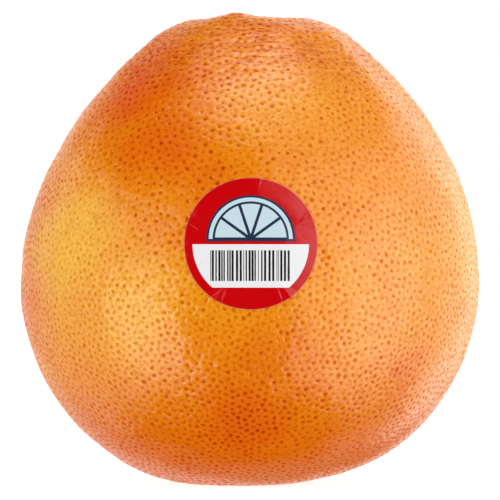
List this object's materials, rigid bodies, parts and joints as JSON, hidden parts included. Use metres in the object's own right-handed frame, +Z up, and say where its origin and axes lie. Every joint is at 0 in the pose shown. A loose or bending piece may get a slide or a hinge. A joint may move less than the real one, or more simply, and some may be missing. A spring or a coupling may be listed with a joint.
{
  "type": "grapefruit",
  "caption": "Whole grapefruit with a drawn-out stem end, pored waxy peel, a dry calyx button in the stem hollow and a round label; it stands on its flattened blossom end.",
  "frame": {"origin": "middle of the bottom of the part's box, on the surface that the fruit stands on", "axes": "+Z up from the blossom end to the stem end, along the fruit's longest extent; -Y is the front with the label"},
  "size_m": [0.1146, 0.113, 0.1177],
  "materials": {
    "peel": "waxed citrus peel, semi-gloss, orange with yellow and salmon zones and darker oil-gland pits",
    "calyx": "dry, matt, grey-brown woody tissue",
    "label_film": "thin printed film, satin to glossy, red, white and pale blue"
  },
  "bodies": {
    "root": {"fruit": "peel", "stem_button": "calyx", "label": "label_film"}
  },
  "joints": []
}
